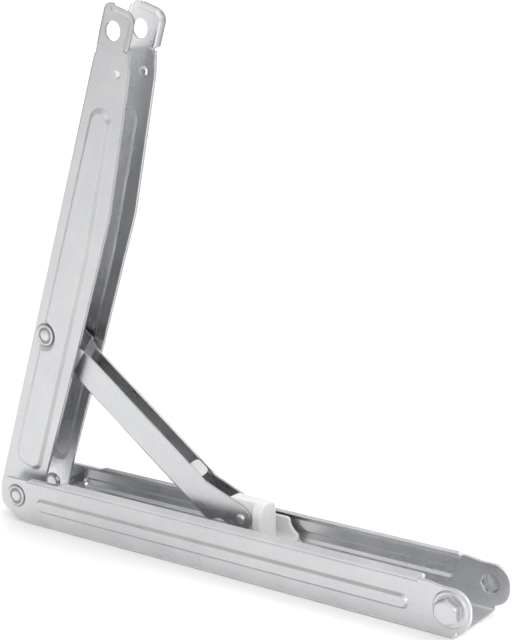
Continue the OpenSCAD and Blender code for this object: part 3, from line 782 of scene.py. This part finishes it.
class BRACKET_OT_stage(bpy.types.Operator):
    """Set the pale floor, the soft lights and the camera"""
    bl_idname = "bracket.stage"
    bl_label = "Stage"

    def execute(self, context):
        context.scene.view_settings.view_transform = "Standard"
        stage = context.scene.bracket_stage
        self.lay_floor(context, stage)
        self.light_room(context, stage)
        self.hang_lamps(context, stage)
        self.set_camera(context, stage)
        return {"FINISHED"}

    def lay_floor(self, context, stage):
        mesh = bpy.data.meshes.new("pale_floor")
        mesh.from_pydata([(x * FLOOR_REACH, y * FLOOR_REACH, -FLOOR_DROP)
                          for x, y in ((-1, -1), (1, -1), (1, 1), (-1, 1))], [], [(0, 1, 2, 3)])
        floor = bpy.data.objects.new("pale_floor", mesh)
        context.scene.collection.objects.link(floor)
        light = tuple(stage.floor_colour)
        paper, t, shader = new_finish("pale_paper", light)
        shader.inputs["Roughness"].default_value = 0.9
        shader.inputs["Specular IOR Level"].default_value = 0.1
        grain = noise(t, stretched(t, 0, (1, 1, 1)), 3, 2)
        dark = tuple(c * 0.985 for c in light)
        t.feed(blend_colours(t, grain, dark, light), shader.inputs["Base Color"])
        coat(floor, paper)

    def light_room(self, context, stage):
        """Pale room, brighter from eye level up and on the right, with two soft windows."""
        world = bpy.data.worlds.new("soft_room")
        world.use_nodes = True
        t = Tree(world.node_tree)
        sky = t.node("ShaderNodeTexCoord").outputs["Generated"]
        split = t.node("ShaderNodeSeparateXYZ")
        t.feed(sky, split.inputs[0])
        up = split.outputs["Z"]
        strength = t.math("MULTIPLY", between(t, up, 0.0, 0.28, 0.42, 1),
                          between(t, up, 0.28, 0.9, stage.horizon_light, stage.ceiling_light))
        side = alignment(t, sky, RIGHT_SIDE)
        strength = t.math("MULTIPLY", strength, between(t, side, -0.6, 0.7, 0.72, 1.35))
        for direction, edge, level in ((SIDE_WINDOW, SIDE_WINDOW_EDGE, stage.side_window),
                                       (ROOF_WINDOW, ROOF_WINDOW_EDGE, stage.roof_window)):
            near = alignment(t, sky, tuple(Vector(direction).normalized()))
            strength = t.math("ADD", strength, between(t, near, edge, edge + 0.04, 0, level))
        background = t.tree.nodes["Background"]
        t.feed(strength, background.inputs["Strength"])
        background.inputs["Color"].default_value = (1, 1, 1, 1)
        context.scene.world = world

    def hang_lamps(self, context, stage):
        """Two soft lamps that light the floor, and that the steel doesn't mirror."""
        for name, size, power, place, spot in (
                ("back_light", BACK_SIZE, stage.back_power, BACK_LIGHT, BACK_SPOT),
                ("front_light", FRONT_SIZE, stage.front_power, FRONT_LIGHT, FRONT_SPOT)):
            light = bpy.data.lights.new(name, "AREA")
            light.size = size
            light.energy = power
            lamp = bpy.data.objects.new(name, light)
            lamp.location = place
            lamp.rotation_euler = (Vector(spot) - Vector(place)).to_track_quat("-Z", "Y").to_euler()
            lamp.visible_glossy = False
            context.scene.collection.objects.link(lamp)

    def set_camera(self, context, stage):
        """Camera where the photograph was taken from."""
        ahead = (CAMERA_TARGET - CAMERA_PLACE).normalized()
        right = ahead.cross(Vector((0, 0, 1))).normalized()
        up = right.cross(ahead)
        across = math.cos(CAMERA_ROLL) * right + math.sin(CAMERA_ROLL) * up
        above = math.cos(CAMERA_ROLL) * up - math.sin(CAMERA_ROLL) * right
        camera = bpy.data.cameras.new("photo_camera")
        camera.lens = stage.lens
        camera.sensor_width = 36
        camera.shift_x, camera.shift_y = CAMERA_SHIFT
        camera.clip_start = 0.01
        camera.clip_end = 60
        view = bpy.data.objects.new("photo_camera", camera)
        turn = Matrix((across, above, -ahead)).transposed().to_4x4()
        view.matrix_world = Matrix.Translation(CAMERA_PLACE) @ turn
        context.scene.collection.objects.link(view)
        context.scene.camera = view


class BRACKET_PT_panel(bpy.types.Panel):
    """Sizes, finishes and stage of the bracket, and its operators"""
    bl_label = "Folding bracket"
    bl_idname = "BRACKET_PT_panel"
    bl_space_type = "VIEW_3D"
    bl_region_type = "UI"
    bl_category = "Bracket"

    def draw(self, context):
        layout = self.layout
        for name, group in GROUPS:
            box = layout.box()
            for key in group.__annotations__:
                box.prop(getattr(context.scene, name), key)
        for operator in OPERATORS:
            layout.operator(operator.bl_idname)


OPERATORS = (BRACKET_OT_channels, BRACKET_OT_strut, BRACKET_OT_slider, BRACKET_OT_rivets,
             BRACKET_OT_stage)
GROUPS = (("bracket_sizes", BracketSizes), ("bracket_finish", BracketFinish),
          ("bracket_stage", BracketStage))


def register():
    for name, group in GROUPS:
        bpy.utils.register_class(group)
        setattr(bpy.types.Scene, name, PointerProperty(type=group))
    for kind in (*OPERATORS, BRACKET_PT_panel):
        bpy.utils.register_class(kind)


def unregister():
    for kind in (BRACKET_PT_panel, *OPERATORS):
        bpy.utils.unregister_class(kind)
    for name, group in GROUPS:
        delattr(bpy.types.Scene, name)
        bpy.utils.unregister_class(group)


def main():
    register()
    bpy.ops.bracket.channels()
    bpy.ops.bracket.strut()
    bpy.ops.bracket.slider()
    bpy.ops.bracket.rivets()
    bpy.ops.bracket.stage()


if __name__ == "__main__":
    main()
